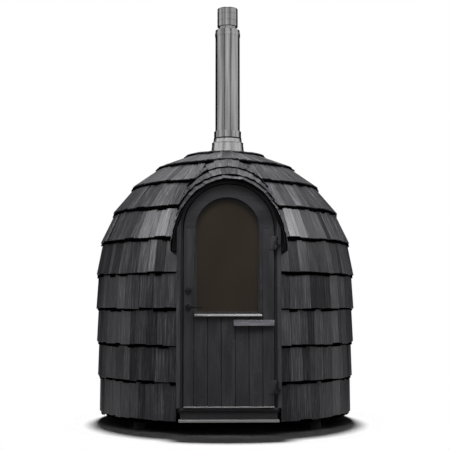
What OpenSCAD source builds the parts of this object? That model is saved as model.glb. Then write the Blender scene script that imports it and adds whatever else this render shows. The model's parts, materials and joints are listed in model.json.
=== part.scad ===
// Igloo sauna: a round timber dome clad in wooden shingles, with an arched door under a
// shingled hood, on two skids, and an insulated stainless chimney through the crown.
// Millimetres. +Z is up, the door faces -Y, and the origin is on the ground below the
// dome's axis.

/* [Dome] */
// Radius over the shingle butts at the spring of the dome
body_r = 1207; // [1000:1:1500]
// Height of the spring of the dome above the ground
spring_z = 1338; // [1100:1:1600]
// Rise of the dome above its spring, over the shingle butts
dome_rise = 1190; // [1000:1:1500]
// Radius of the slight barrel curve of the wall below the spring
wall_sweep_r = 18000; // [8000:100:60000]
// Thickness of the timber shell
shell_t = 60; // [40:1:100]
// Number of shell segments beside and behind the doorway
segment_count = 8; // [6:1:10]
// Radius at which the segments meet the crown ring
crown_r = 300; // [220:1:400]

/* [Shingles] */
// Length of each course that shows, along the slope
exposure = 305; // [240:1:360]
// Extra length of the lowest course
starter_extra = 17; // [0:1:60]
// Thickness of a course at its butt
shingle_t = 12; // [6:1:14]
// Length of each course that the next one covers
shingle_lap = 30; // [15:1:32]
// Depth of the step from one course's face to the next
shingle_step = 21; // [19:1:30]

/* [Base] */
// Width and height of a skid
skid_size = 95; // [70:1:140]
// Distance from the centre line to the middle of each skid
skid_x = 750; // [500:1:800]
// Length of each skid
skid_length = 1600; // [1200:1:1620]
// Width of a cross beam
beam_w = 45; // [35:1:80]
// Height of a cross beam
beam_h = 67; // [45:1:90]
// Distance between cross beams
beam_pitch = 380; // [250:1:390]
// Thickness of the floor boards
floor_t = 28; // [18:1:45]

/* [Door opening] */
// Half width of the door leaf, and radius of its arched head
leaf_r = 374; // [300:1:420]
// Height of the arch centre above the ground
arch_z = 1680; // [1500:1:1750]
// Height of the underside of the leaf above the ground
leaf_bottom_z = 218; // [214:1:240]
// How far the leaf's front face stands behind the widest part of the dome
leaf_setback = 47; // [41:1:57]
// Thickness of the leaf
leaf_t = 55; // [40:1:60]
// Gap round the edge of the leaf
leaf_gap = 5; // [3:0.5:6]
// Width of the jambs' faces
jamb_w = 32; // [24:1:36]
// Depth of the jambs
jamb_depth = 120; // [110:1:125]
// How far the jambs' faces stand behind the leaf's face
jamb_recess = 23; // [10:1:30]
// Width of the door stop
stop_w = 16; // [10:1:25]
// Width of the casing boards beside the jambs
casing_w = 34; // [25:1:36]
// Thickness of the casing boards
casing_t = 25; // [15:1:30]
// Height of the top of the casing boards
casing_top_z = 1755; // [1700:1:1760]
// Thickness of the threshold board
threshold_t = 20; // [15:1:24]

/* [Door leaf] */
// Width of the left stile
left_stile_w = 84; // [70:1:110]
// Width of the right stile
right_stile_w = 94; // [70:1:110]
// Distance from the leaf's edge to the window's arch, on average
window_margin = 111; // [104:1:160]
// Distance of the window's centre line to the left of the leaf's
window_shift = 12; // [0:1:14]
// Height of the window's lower edge
window_bottom_z = 988; // [900:1:1200]
// Thickness of the glass
glass_t = 6; // [4:1:10]
// Width of the bead round the glass
bead_w = 8; // [5:1:14]
// Height of the rail below the window
rail_h = 31; // [20:1:60]
// Number of boards in the lower panel
board_count = 5; // [3:1:8]
// How far the boards lie behind the stiles' face
board_recess = 6; // [0:1:12]
// Height of the batten's upper edge
batten_z = 930; // [700:1:950]
// Height of the batten
batten_h = 50; // [30:1:80]
// Length of the batten
batten_length = 336; // [200:1:400]
// Height of the lever's axis
lever_z = 1036; // [900:1:1150]
// Distance of the lever's axis from the leaf's left edge
lever_backset = 38; // [30:1:60]
// Length of the lever
lever_length = 118; // [90:1:140]
// Height of the lock above the lever
lock_rise = 138; // [80:1:200]

/* [Hood] */
// How far the hood's front edge stands in front of the widest part of the dome
hood_projection = 8; // [2:1:18]
// Half width of the hood's arched front edge, at its underside
hood_w = 477; // [465:1:500]
// Rise of the hood's arched front edge
hood_h = 593; // [585:1:620]
// Height of the feet of the hood's arch
hood_z = 1500; // [1460:1:1520]
// Rise of the hood at its crown for each millimetre back from its edge
hood_flare = 0.42; // [0.39:0.01:0.44]
// Thickness of the hood's deck
hood_deck_t = 12; // [8:1:14]
// How far the shingles reach in front of the deck
hood_overhang = 40; // [20:1:60]
// Distance back from the edge to the second course's butts, at the crown
hood_butt_2 = 75; // [60:1:120]
// Distance back from the edge to the third course's butts, at the crown
hood_butt_3 = 300; // [260:1:360]

/* [Chimney] */
// Offset of the chimney to the right of the dome's axis
chimney_x = 25; // [0:1:60]
// Inner radius of the flue
flue_r = 57.5; // [50:0.5:80]
// Outer radius of the insulated casing
casing_pipe_r = 117; // [100:1:125]
// Outer radius of the cowl
cowl_r = 98; // [90:1:110]
// Height of the top of the casing
casing_pipe_top_z = 3690; // [3200:1:4200]
// Height of the cowl
cowl_h = 190; // [120:1:260]

/* [Hidden] */
$fn = 192;

charcoal = "#3a3a3d";
door_grey = "#38383a";
black_iron = "#1c1c1e";
spruce = "#c9a878";
stainless = "#9a9da1";

// Clearance between a piece and what it sits on
seat = 0.3;
window_r = leaf_r - window_margin;
leaf_front_y = body_r - leaf_setback;
hood_front_y = body_r + hood_projection;
course_count = 10;
deck_top_z = skid_size + beam_h + floor_t;
deck_r = shell_outer(0)[0];
opening_r = leaf_r + leaf_gap + jamb_w;     // outside of the jambs and of the frame's arch
jamb_front_y = leaf_front_y - jamb_recess;
jamb_back_y = jamb_front_y - jamb_depth;
threshold_top_z = deck_top_z + threshold_t;
// Thickness of the seal between the leaf and its stop
seal_t = 3;
stop_front_y = leaf_front_y - leaf_t - seal_t;
stop_d = 30;
// How far the casing boards reach past the jambs
casing_cover = 22;
casing_outer_x = opening_r + casing_cover;
panel_top_z = window_bottom_z - rail_h;
// Height of the cone between the casing and the cowl
neck_h = 22;
chimney_top_z = casing_pipe_top_z + neck_h;
// Distance of the hinge pins outside the leaf's edge and in front of its face
hinge_side = 23;
hinge_ahead = 20;
hinge_x = leaf_r + hinge_side;
hinge_y = -(leaf_front_y + hinge_ahead);
hinge_levels = [380, 1565];
hinge_h = 112;

// ---------- the dome's meridian ----------

// Point over the butts at a distance s up the slope from the spring, as [radius, height]
function butt_curve(s) =
    s < 0
    ? [body_r - s * s / (2 * wall_sweep_r), spring_z + s]
    : let (a = s / body_r * 180 / PI) [body_r * cos(a), spring_z + dome_rise * sin(a)];

// Distance up the slope to the butt of course k; the fifth starts just below the spring
function butt_s(k) = (k - 5) * exposure - 9 - (k == 1 ? starter_extra : 0);

// Outward unit normal of the butt curve
function curve_normal(s) =
    let (d = butt_curve(s + 1) - butt_curve(s - 1), n = [d[1], -d[0]]) n / norm(n);

function butt(k) = butt_curve(butt_s(k));

// The point on course k's outer face that lies under the next course's butt
function under_next(k) = butt(k + 1) - shingle_step * curve_normal(butt_s(k + 1));

function course_dir(k) = let (d = under_next(k) - butt(k)) d / norm(d);
function course_normal(k) = [course_dir(k)[1], -course_dir(k)[0]];
function head(k) = under_next(k) + shingle_lap * course_dir(k);

// Point on course k's outer face at a given radius, used near the crown
function on_course(k, r) =
    let (p = butt(k), d = course_dir(k)) p + d * (r - p[0]) / d[0];

// Outer corners of the shell, under the heads of the courses; 0 is its foot on the floor
function shell_outer(k) =
    k == 0
    ? let (a = shell_outer(1), b = shell_outer(2))
        a - (b - a) * (a[1] - deck_top_z) / (b[1] - a[1])
    : head(k) - (shingle_t + seat) * course_normal(k);

// Outer face of the shell at the crown, on the line under the last course
function crown_outer(r) =
    let (a = shell_outer(course_count - 1), b = on_course(course_count, 0)
         - (shingle_t + seat) * course_normal(course_count), d = b - a)
    a + d * (r - a[0]) / d[0];

function shell_profile_outer() =
    concat([for (k = [0:course_count - 1]) shell_outer(k)], [crown_outer(crown_r)]);

// Moves each point of a profile inward by t, square to the line through its neighbours
function inset(p, t) =
    [for (i = [0:len(p) - 1])
        let (a = p[max(i - 1, 0)], b = p[min(i + 1, len(p) - 1)], d = (b - a) / norm(b - a))
        p[i] - t * [d[1], -d[0]]];

function level_foot(p) = concat([[p[0][0], deck_top_z]], [for (i = [1:len(p) - 1]) p[i]]);

outer_profile = shell_profile_outer();
inset_profile = level_foot(inset(outer_profile, shell_t));
inner_profile = concat([for (i = [0:course_count - 1]) inset_profile[i]], [crown_inner(crown_r)]);

// Inner face of the shell at the crown, parallel to the outer face
function crown_inner(r) =
    let (a = inset_profile[course_count - 1], b = crown_outer(crown_r), c = crown_outer(crown_r - 100))
    [r, a[1] + (r - a[0]) * (c[1] - b[1]) / (c[0] - b[0])];

module shell_section() {
    n = len(outer_profile);
    polygon(concat(outer_profile, [for (i = [n - 1:-1:0]) inner_profile[i]]));
}

// Sector of a revolved profile between two angles measured from the door, positive to the right
module sector(from, to) {
    rotate([0, 0, from - 90]) rotate_extrude(angle = to - from) children();
}

// Upright prism through the front of the dome with the doorway's arched outline
module doorway(r, bottom, front = 1500, back = 300) {
    translate([0, -back, 0]) rotate([90, 0, 0]) linear_extrude(front - back) {
        translate([-r, bottom]) square([2 * r, arch_z - bottom]);
        translate([0, arch_z]) circle(r);
    }
}

// Arched band in the plane of the door, between two radii
module arch_band(outer, inner) {
    difference() {
        circle(outer);
        circle(inner);
        translate([-2 * outer, -2 * outer]) square([4 * outer, 2 * outer]);
    }
}

// Extrudes a shape drawn in x and z from front to back distance in front of the axis
module upright(front, back) {
    translate([0, -back, 0]) rotate([90, 0, 0]) linear_extrude(front - back) children();
}

// Cuboid from its lowest and highest corner
module block(low, high) {
    translate(low) cube(high - low);
}

// ---------- base ----------

module skid(side) {
    color(charcoal)
    translate([side * skid_x - skid_size / 2, -skid_length / 2, 0])
        cube([skid_size, skid_length, skid_size]);
}

module cross_beams() {
    color(spruce)
    for (i = [-2:2]) {
        y = i * beam_pitch;
        reach = sqrt(pow(deck_r - 40, 2) - pow(abs(y) + beam_w / 2, 2));
        block([-reach, y - beam_w / 2, skid_size], [reach, y + beam_w / 2, skid_size + beam_h]);
    }
}

// The round floor, cut off straight in front where the kick board is fixed
module floor_deck() {
    color(spruce)
    intersection() {
        translate([0, 0, deck_top_z - floor_t]) cylinder(r = deck_r, h = floor_t);
        block([-deck_r - 1, -kick_back_y, 0], [deck_r + 1, deck_r + 1, deck_top_z + 1]);
    }
}

kick_back_y = jamb_front_y - 15;
kick_t = 20;
ledge_t = 18;
ledge_z = skid_size + 5;

module kick_board() {
    color(door_grey)
    block([-opening_r + 12, -kick_back_y - kick_t, ledge_z + ledge_t],
          [opening_r - 12, -kick_back_y, deck_top_z]);
}

module sill_ledge() {
    color(door_grey)
    block([-opening_r, -leaf_front_y - 32, ledge_z], [opening_r, -kick_back_y, ledge_z + ledge_t]);
}

module threshold() {
    color(door_grey)
    block([-opening_r, -leaf_front_y + 3, deck_top_z], [opening_r, -jamb_back_y, threshold_top_z]);
}

// ---------- shell ----------

// Half the angle of the piece over the doorway, just inside the jambs' outer faces
front_half_angle = asin((opening_r - 1) / body_r);
segment_angle = (360 - 2 * front_half_angle) / segment_count;
// Half the gap between neighbouring pieces of the shell, as an angle
joint_angle = 0.006;

module shell_segment(i) {
    from = front_half_angle + (i - 1) * segment_angle + joint_angle;
    to = from + segment_angle - 2 * joint_angle;
    color(spruce)
    if (i == 1 || i == segment_count) {
        difference() {
            sector(from, to) shell_section();
            doorway(opening_r + seat, 0);
        }
    } else {
        sector(from, to) shell_section();
    }
}

module shell_front() {
    color(spruce)
    difference() {
        sector(joint_angle - front_half_angle, front_half_angle - joint_angle) shell_section();
        doorway(opening_r + seat, 0);
    }
}

module crown_ring() {
    low = crown_inner(crown_r)[1];
    color(spruce)
    difference() {
        rotate_extrude()
            polygon([crown_outer(crown_r - seat), crown_outer(10), [10, low], [crown_r - seat, low]]);
        translate([chimney_x, 0, 0]) cylinder(r = casing_pipe_r + seat, h = 4000);
    }
}

// ---------- shingle courses ----------

// Height over the doorway up to which courses are cut, and their gap to the casing boards
doorway_margin = 30;
casing_gap = 1.5;
// Ring left open round the chimney inside the last course
flashing_gap = 12;

module course_section(k) {
    n = course_normal(k);
    top = k == course_count ? on_course(k, casing_pipe_r + chimney_x + flashing_gap) : head(k);
    polygon([butt(k), top, top - shingle_t * n, butt(k) - shingle_t * n]);
}

module shingle_course(k) {
    color(charcoal)
    difference() {
        rotate_extrude() course_section(k);
        // Only the courses that start below the top of the doorway are cut by it
        if (butt(k)[1] < arch_z + opening_r + doorway_margin) doorway(casing_outer_x + casing_gap, 0);
    }
}

// ---------- hood ----------

// Angles of the hood's columns, from its crown
hood_angles = [for (w = [-90:2.5:90]) w];
// Angles at which the upper courses' butts run out on the dome
valley_2 = 55;
valley_3 = 35;
hood_shingle_t = 10;
// Heights of the upper hood courses' undersides at their butts, and how fast they come down
hood_lift_2 = hood_shingle_t + 2.5;
hood_lift_3 = hood_shingle_t + 4;
hood_taper = 0.055;
deck_drop = 2.2;
dome_gap = 3.5;

// Outward unit normal of the front edge's oval, in x and z
function hood_normal(w) = let (n = [sin(w) / hood_w, cos(w) / hood_h]) n / norm(n);

// The hood rises towards its back at the crown and runs straight back at its feet
function hood_slope(w) = hood_flare * pow(cos(w), 2);

// Point of the hood at angle w from its crown, t back from its edge, h above its underside
function hood_point(w, t, h) =
    let (n = hood_normal(w), out = h + hood_slope(w) * t)
    [hood_w * sin(w) + n[0] * out, t - hood_front_y, hood_z + hood_h * cos(w) + n[1] * out];

// How far back the line at angle w and height h runs before it meets the dome, or passes
// nearest to it
function hood_end(w, h) =
    let (p = hood_point(w, 0, h), m = hood_slope(w) * hood_normal(w),
         rr = body_r + dome_gap, k = pow(rr / (dome_rise + dome_gap), 2), z0 = p[2] - spring_z,
         qa = 1 + m[0] * m[0] + k * m[1] * m[1],
         qb = 2 * (p[0] * m[0] - hood_front_y + k * z0 * m[1]),
         qc = p[0] * p[0] + pow(hood_front_y, 2) + k * z0 * z0 - rr * rr)
    (-qb - sqrt(max(0, qb * qb - 4 * qa * qc))) / (2 * qa);

// Solid through a row of matching closed outlines
module loft(rows) {
    m = len(rows[0]);
    n = len(rows);
    polyhedron(
        points = [for (r = rows) for (p = r) p],
        faces = concat(
            [for (j = [1:m - 2]) [0, j + 1, j]],
            [for (j = [1:m - 2]) [(n - 1) * m, (n - 1) * m + j, (n - 1) * m + j + 1]],
            [for (i = [0:n - 2]) for (j = [0:m - 1])
                let (a = i * m + j, b = i * m + (j + 1) % m) each [[a, b, b + m], [a, b + m, a + m]]]));
}

// Layer of the hood between the heights low and low + thick. Its back edge stops at the dome
// or at a given line, and taper is the height it loses for each millimetre back
module hood_layer(angles, front, line, low, thick, taper = 0) {
    loft([for (i = [0:len(angles) - 1])
        let (w = angles[i],
             run = min(hood_end(w, low), line[i]) - front[i],
             back_h = taper > 0 ? max(1, low - taper * run) : low,
             back_low = min(hood_end(w, back_h), line[i]),
             back_high = min(hood_end(w, back_h + thick), line[i]))
        [hood_point(w, front[i], low + thick), hood_point(w, back_high, back_h + thick),
         hood_point(w, back_low, back_h), hood_point(w, front[i], low)]]);
}

// Distance back from the edge to a course's butts, running out on the dome at the valley
function hood_butt_line(w, crown, valley, h) =
    let (top = min(crown, hood_end(0, h) - 120))
    top + (max(top, hood_end(valley, h)) - top) * pow(min(abs(w), valley) / valley, 2);

function hood_columns_within(limit) = [for (w = hood_angles) if (abs(w) <= limit) w];

module hood_deck() {
    color(charcoal)
    hood_layer(hood_angles,
        [for (w = hood_angles) hood_overhang],
        [for (w = hood_angles) hood_front_y],
        -hood_deck_t, hood_deck_t - deck_drop);
}

module hood_course_1() {
    color(charcoal)
    hood_layer(hood_angles,
        [for (w = hood_angles) 0],
        [for (w = hood_angles) hood_butt_line(w, hood_butt_2, valley_2, 0) + shingle_lap],
        0, hood_shingle_t);
}

module hood_course_2() {
    angles = hood_columns_within(valley_2 - 5);
    color(charcoal)
    hood_layer(angles,
        [for (w = angles) hood_butt_line(w, hood_butt_2, valley_2, hood_lift_2)],
        [for (w = angles) hood_butt_line(w, hood_butt_3, valley_3, hood_lift_3) + shingle_lap],
        hood_lift_2, hood_shingle_t, hood_taper);
}

module hood_course_3() {
    angles = hood_columns_within(valley_3 - 5);
    color(charcoal)
    hood_layer(angles,
        [for (w = angles) hood_butt_line(w, hood_butt_3, valley_3, hood_lift_3)],
        [for (w = angles) hood_front_y],
        hood_lift_3, hood_shingle_t, hood_taper);
}

// Plate that closes the gap between the door frame and the underside of the hood
module hood_soffit() {
    back = jamb_front_y - 10;
    plate_t = 9;
    // The hood narrows towards its edge, so the plate's front face sets its outline
    t = hood_front_y - back - plate_t;
    outline = [for (w = hood_angles)
        let (p = hood_point(w, t, -hood_deck_t - 0.8)) [p[0], p[2]]];
    color(charcoal)
    upright(back + plate_t, back)
    difference() {
        polygon(outline);
        translate([0, arch_z]) circle(opening_r + seat);
        translate([-opening_r - seat, 0]) square([2 * (opening_r + seat), arch_z]);
    }
}

// ---------- door frame ----------

module jamb(side) {
    inner = leaf_r + leaf_gap;
    color(door_grey)
    scale_side(side) union() {
        block([inner, -jamb_front_y, threshold_top_z], [opening_r, -jamb_back_y, arch_z]);
        block([inner - stop_w, -stop_front_y, threshold_top_z],
              [inner + 1, -stop_front_y + stop_d, arch_z]);
    }
}

module scale_side(side) {
    if (side < 0) mirror([1, 0, 0]) children();
    else children();
}

module frame_arch() {
    inner = leaf_r + leaf_gap;
    color(door_grey)
    translate([0, 0, arch_z]) {
        upright(jamb_front_y, jamb_back_y) arch_band(opening_r, inner);
        upright(stop_front_y, stop_front_y - stop_d) arch_band(inner + 1, inner - stop_w);
    }
}

// Lining of the short tunnel between the frame's arch and the inside of the dome
module reveal_lining() {
    color(spruce)
    difference() {
        translate([0, 0, arch_z])
            upright(jamb_back_y, 500) arch_band(opening_r, leaf_r + leaf_gap + 6);
        rotate_extrude()
            polygon(concat([[0, 0]], inner_profile, [[0, inner_profile[len(inner_profile) - 1][1]]]));
    }
}

module casing_boards() {
    color(door_grey)
    for (side = [-1, 1]) scale_side(side)
        upright(jamb_front_y + casing_t, jamb_front_y)
            polygon([[casing_outer_x - casing_w, threshold_top_z],
                     [casing_outer_x, threshold_top_z],
                     [casing_outer_x, casing_top_z - 2 * casing_w],
                     [casing_outer_x - casing_w, casing_top_z]]);
}

// ---------- door leaf ----------

module window_outline(r, bottom) {
    translate([-window_shift - r, bottom]) square([2 * r, arch_z - bottom]);
    translate([-window_shift, arch_z]) circle(r);
}

leaf_back_y = leaf_front_y - leaf_t;
left_inner_x = -leaf_r + left_stile_w;
right_inner_x = leaf_r - right_stile_w;

module door_stiles() {
    color(door_grey)
    upright(leaf_front_y, leaf_back_y) {
        translate([-leaf_r, leaf_bottom_z]) square([left_stile_w, arch_z - leaf_bottom_z]);
        translate([right_inner_x, leaf_bottom_z])
            square([right_stile_w, arch_z - leaf_bottom_z]);
    }
}

// Arched head with the window's frame and the rail below it
module window_frame() {
    color(door_grey)
    upright(leaf_front_y, leaf_back_y)
    difference() {
        union() {
            intersection() {
                translate([0, arch_z]) circle(leaf_r);
                translate([-leaf_r, arch_z]) square([2 * leaf_r, leaf_r]);
            }
            translate([left_inner_x, panel_top_z])
                square([right_inner_x - left_inner_x, arch_z - panel_top_z]);
        }
        window_outline(window_r, window_bottom_z);
    }
}

module door_panel() {
    width = (right_inner_x - left_inner_x) / board_count;
    groove = 6;
    front = leaf_front_y - board_recess;
    color(door_grey)
    difference() {
        block([left_inner_x, -front, leaf_bottom_z], [right_inner_x, -leaf_back_y - 4, panel_top_z]);
        for (i = [1:board_count - 1])
            translate([left_inner_x + i * width, -front, leaf_bottom_z - 1])
                rotate([0, 0, 45])
                    translate([-groove / 2, -groove / 2, 0])
                        cube([groove, groove, panel_top_z - leaf_bottom_z + 2]);
    }
}

glass_front_y = leaf_front_y - 30;

module window_glass() {
    color("#3a322a", 0.85)
    upright(glass_front_y, glass_front_y - glass_t)
        window_outline(window_r - seat, window_bottom_z + seat);
}

module window_bead() {
    color(door_grey)
    upright(glass_front_y + 14, glass_front_y + seat)
    difference() {
        window_outline(window_r - seat, window_bottom_z + seat);
        window_outline(window_r - bead_w, window_bottom_z + bead_w);
    }
}

// Sloped drip ledge below the glass
module window_ledge() {
    out = leaf_front_y + 16;
    left = -window_shift - window_r - 9;
    length = 2 * window_r + 30;
    color("#8d8d90")
    translate([left, 0, 0]) rotate([90, 0, 90]) linear_extrude(length)
        polygon([[-leaf_front_y, panel_top_z + 2], [-out, panel_top_z + 2],
                 [-out, panel_top_z + 8], [-leaf_front_y, panel_top_z + 22]]);
}

module door_batten() {
    color("#6c6c6f")
    block([leaf_r - batten_length, -leaf_front_y - 24, batten_z - batten_h],
          [leaf_r, -leaf_front_y, batten_z]);
}

module door_sweep() {
    color("#8d8d90")
    block([-leaf_r, -leaf_front_y - 7, leaf_bottom_z - 3], [leaf_r, -leaf_front_y, leaf_bottom_z + 7]);
}

// ---------- hinges, lock and lever ----------

knuckle_r = 8;
pin_gap = 0.5;
plate_t = 3;

// The frame carries the middle of each hinge and a plate on the casing board
module hinge_plates() {
    third = hinge_h / 3;
    plate_y = -(jamb_front_y + casing_t);
    color(black_iron)
    for (z = hinge_levels) {
        translate([hinge_x, hinge_y, z - third / 2 + pin_gap])
            cylinder(r = knuckle_r, h = third - 2 * pin_gap);
        block([hinge_x, hinge_y, z - third / 2 + pin_gap],
              [hinge_x + 30, plate_y, z + third / 2 - pin_gap]);
    }
}

// The leaf carries the two ends of each hinge, joined by a plate on the stile
module hinge_knuckles() {
    third = hinge_h / 3;
    color(black_iron)
    for (z = hinge_levels) {
        for (end = [-1, 1])
            translate([hinge_x, hinge_y, z + end * third - third / 2])
                cylinder(r = knuckle_r, h = third);
        for (end = [-1, 1])
            block([hinge_x - 12, hinge_y - 3, z + end * third - third / 2],
                  [hinge_x, hinge_y + 3, z + end * third + third / 2]);
        block([hinge_x - 12 - 3, hinge_y - 3, z - hinge_h / 2],
              [hinge_x - 12, -leaf_front_y - plate_t, z + hinge_h / 2]);
        block([leaf_r - 40, -leaf_front_y - plate_t, z - hinge_h / 2],
              [hinge_x - 12, -leaf_front_y, z + hinge_h / 2]);
    }
}

lever_x = -leaf_r + lever_backset;
rose_r = 26;
rose_t = 9;
spindle_r = 8;

// Roses of the lever and the lock, on both faces of the leaf
module lock_set() {
    color(black_iron)
    for (face = [1, 0]) {
        near = face == 1 ? leaf_front_y + rose_t : leaf_back_y;
        translate([lever_x, -near + rose_t, lever_z]) rotate([90, 0, 0])
            difference() {
                cylinder(r = rose_r, h = rose_t);
                translate([0, 0, -1]) cylinder(r = spindle_r + 0.4, h = rose_t + 2);
            }
        translate([lever_x, -near + rose_t, lever_z + lock_rise]) rotate([90, 0, 0]) {
            cylinder(r = rose_r, h = rose_t);
            translate([0, 0, face == 1 ? rose_t : -12]) cylinder(r = 11, h = 12);
        }
    }
}

// Outer and inner lever on one spindle through the leaf
module lever_handle() {
    reach = 42;
    color(black_iron)
    translate([lever_x, 0, lever_z]) {
        upright(leaf_front_y + rose_t + reach, leaf_front_y) circle(spindle_r);
        upright(leaf_back_y, leaf_back_y - rose_t - reach) circle(spindle_r);
        for (y = [leaf_front_y + rose_t + reach - 12, leaf_back_y - rose_t - reach])
            upright(y + 12, y) {
                translate([0, -9]) square([lever_length - 9, 18]);
                translate([lever_length - 9, 0]) circle(9);
                circle(11);
            }
    }
}

// ---------- chimney ----------

module tube(outer, inner, low, high) {
    translate([chimney_x, 0, low])
    difference() {
        cylinder(r = outer, h = high - low);
        translate([0, 0, -1]) cylinder(r = inner, h = high - low + 2);
    }
}

flue_wall = 2.5;
flue_bottom_z = 2300;
roof_z = on_course(course_count, 160)[1];

module chimney_flue() {
    color(stainless)
    tube(flue_r + flue_wall, flue_r, flue_bottom_z, chimney_top_z + cowl_h - 12);
}

module chimney_casing() {
    color(stainless)
    translate([chimney_x, 0, 0])
    difference() {
        translate([0, 0, flue_bottom_z + 60])
            cylinder(r = casing_pipe_r, h = casing_pipe_top_z - flue_bottom_z - 60);
        translate([0, 0, flue_bottom_z]) cylinder(r = flue_r + flue_wall + seat, h = 4000);
        translate([0, 0, flue_bottom_z + 68])
            cylinder(r = casing_pipe_r - 5, h = casing_pipe_top_z - flue_bottom_z - 76);
    }
}

module chimney_bands() {
    color(stainless) {
        tube(casing_pipe_r + 12, casing_pipe_r + seat, roof_z + 143, roof_z + 208);
        tube(casing_pipe_r + 4, casing_pipe_r + seat, casing_pipe_top_z - 60, casing_pipe_top_z - 30);
    }
}

// Conical flashing whose foot is cut to the slope of the last course
module chimney_flashing() {
    foot = on_course(course_count, 0)[1] + 2;
    lip_z = roof_z + 92;
    color(stainless)
    difference() {
        translate([chimney_x, 0, 0]) rotate_extrude() polygon([
            [160, roof_z - 25], [148, lip_z - 4], [151, lip_z], [151, lip_z + 5], [138, lip_z + 8],
            [casing_pipe_r + 14, roof_z + 140], [casing_pipe_r + seat, roof_z + 140],
            [casing_pipe_r + seat, roof_z + 134], [134, lip_z], [144, lip_z - 6],
            [156, roof_z - 25]]);
        rotate_extrude() polygon([
            [0, 0], [0, foot], on_course(course_count, 0) + seat * course_normal(course_count),
            butt(course_count) + seat * course_normal(course_count), [butt(course_count)[0], 0]]);
    }
}

// Open cowl round the end of the flue, on a spacer ring
module chimney_cowl() {
    low = chimney_top_z;
    color(stainless) {
        tube(cowl_r, cowl_r - 4, low + 14, low + cowl_h);
        tube(cowl_r - 3, flue_r + flue_wall + seat, low + 30, low + 38);
        tube(cowl_r - 12, flue_r + flue_wall + seat, casing_pipe_top_z, low + 31);
    }
}

skid(-1);  // skid_left
skid(1);  // skid_right
cross_beams();
floor_deck();
for (i = [1:segment_count])
    shell_segment(i);
shell_front();
crown_ring();
for (k = [1:course_count])
    shingle_course(k);
hood_deck();
hood_soffit();
hood_course_1();
hood_course_2();
hood_course_3();
jamb(-1);  // jamb_left
jamb(1);  // jamb_right
frame_arch();
reveal_lining();
casing_boards();
threshold();
kick_board();
sill_ledge();
hinge_plates();
chimney_flue();
chimney_casing();
chimney_bands();
chimney_flashing();
chimney_cowl();
door_stiles();
window_frame();
door_panel();
window_bead();
window_glass();
window_ledge();
door_batten();
door_sweep();
hinge_knuckles();
lock_set();
lever_handle();
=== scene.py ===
# %% [markdown]
# # Igloo sauna
# A round timber dome on two skids. Wooden shingles clad it from the ground up in ten courses,
# and three more courses cover a curved hood that shelters an arched door. An insulated stainless
# chimney stands on the crown. Every piece is placed from the CAD part's own pieces, so that the
# two models always agree.

import json
import math
import random
from collections import Counter

import bmesh
import bpy
import numpy as np
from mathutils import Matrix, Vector

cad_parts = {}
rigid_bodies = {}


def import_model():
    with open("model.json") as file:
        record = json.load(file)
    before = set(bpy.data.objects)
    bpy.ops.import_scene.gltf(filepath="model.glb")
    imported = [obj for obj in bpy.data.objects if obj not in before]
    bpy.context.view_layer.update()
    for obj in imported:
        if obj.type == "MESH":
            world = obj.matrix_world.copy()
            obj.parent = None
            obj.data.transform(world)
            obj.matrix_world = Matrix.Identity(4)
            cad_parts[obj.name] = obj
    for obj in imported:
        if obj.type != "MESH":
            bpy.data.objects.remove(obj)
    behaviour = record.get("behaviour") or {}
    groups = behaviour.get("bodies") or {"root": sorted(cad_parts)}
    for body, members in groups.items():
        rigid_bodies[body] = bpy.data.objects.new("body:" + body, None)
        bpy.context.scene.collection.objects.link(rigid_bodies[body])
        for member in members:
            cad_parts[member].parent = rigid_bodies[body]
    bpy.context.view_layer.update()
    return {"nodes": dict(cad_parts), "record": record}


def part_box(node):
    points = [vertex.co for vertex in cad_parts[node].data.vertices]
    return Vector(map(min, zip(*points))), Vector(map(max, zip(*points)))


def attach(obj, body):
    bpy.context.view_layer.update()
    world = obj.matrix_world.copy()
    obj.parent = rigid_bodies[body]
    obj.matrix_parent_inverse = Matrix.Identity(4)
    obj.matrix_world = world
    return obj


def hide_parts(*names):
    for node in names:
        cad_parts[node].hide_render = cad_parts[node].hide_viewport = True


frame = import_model()
nodes = frame["nodes"]
body_of = {n: b for b, ns in frame["record"]["behaviour"]["bodies"].items() for n in ns}

# %% [markdown]
# ## Finishes
# All wood is drawn with noise that is stretched along the grain. Image textures would need
# unwrapping and would repeat, while noise gives every board its own grain. On a piece that stays
# one solid the grain follows an axis of the part. On the shingles it follows each shingle, so they
# carry their own grain coordinates and a shade of their own. A few small helpers keep the node
# trees short.

# %% Node helpers
def new_material(name):
    material = bpy.data.materials.new(name)
    material.use_nodes = True
    tree = material.node_tree
    shader = tree.nodes["Principled BSDF"]
    return material, tree, shader


def add(tree, kind, **inputs):
    """Adds a node and sets its inputs by name."""
    node = tree.nodes.new(kind)
    for key, value in inputs.items():
        node.inputs[key.replace("_", " ")].default_value = value
    return node


def grey(level, tint=(1.0, 1.0, 1.0)):
    return tuple(level * channel for channel in tint)


def ramp(tree, source, stops):
    """Turns a number into a colour, with stops of (place, colour)."""
    node = tree.nodes.new("ShaderNodeValToRGB")
    elements = node.color_ramp.elements
    while len(elements) < len(stops):
        elements.new(0.5)
    for element, (place, colour) in zip(elements, stops):
        element.position = place
        element.color = (*colour, 1)
    tree.links.new(source, node.inputs["Fac"])
    return node.outputs["Color"]


def colour_mix(tree, kind, factor, a, b):
    """Mixes two colours. Each input is a plain value or the output of another node."""
    node = tree.nodes.new("ShaderNodeMix")
    node.data_type = "RGBA"
    node.blend_type = kind
    colour_inputs = [s for s in node.inputs if s.type == "RGBA"]
    factor_input = next(s for s in node.inputs if s.type == "VALUE")
    for socket, value in ((factor_input, factor), (colour_inputs[0], a), (colour_inputs[1], b)):
        if isinstance(value, bpy.types.NodeSocket):
            tree.links.new(value, socket)
        elif socket.type == "RGBA":
            socket.default_value = (*value, 1)
        else:
            socket.default_value = value
    return next(o for o in node.outputs if o.type == "RGBA")


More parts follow.
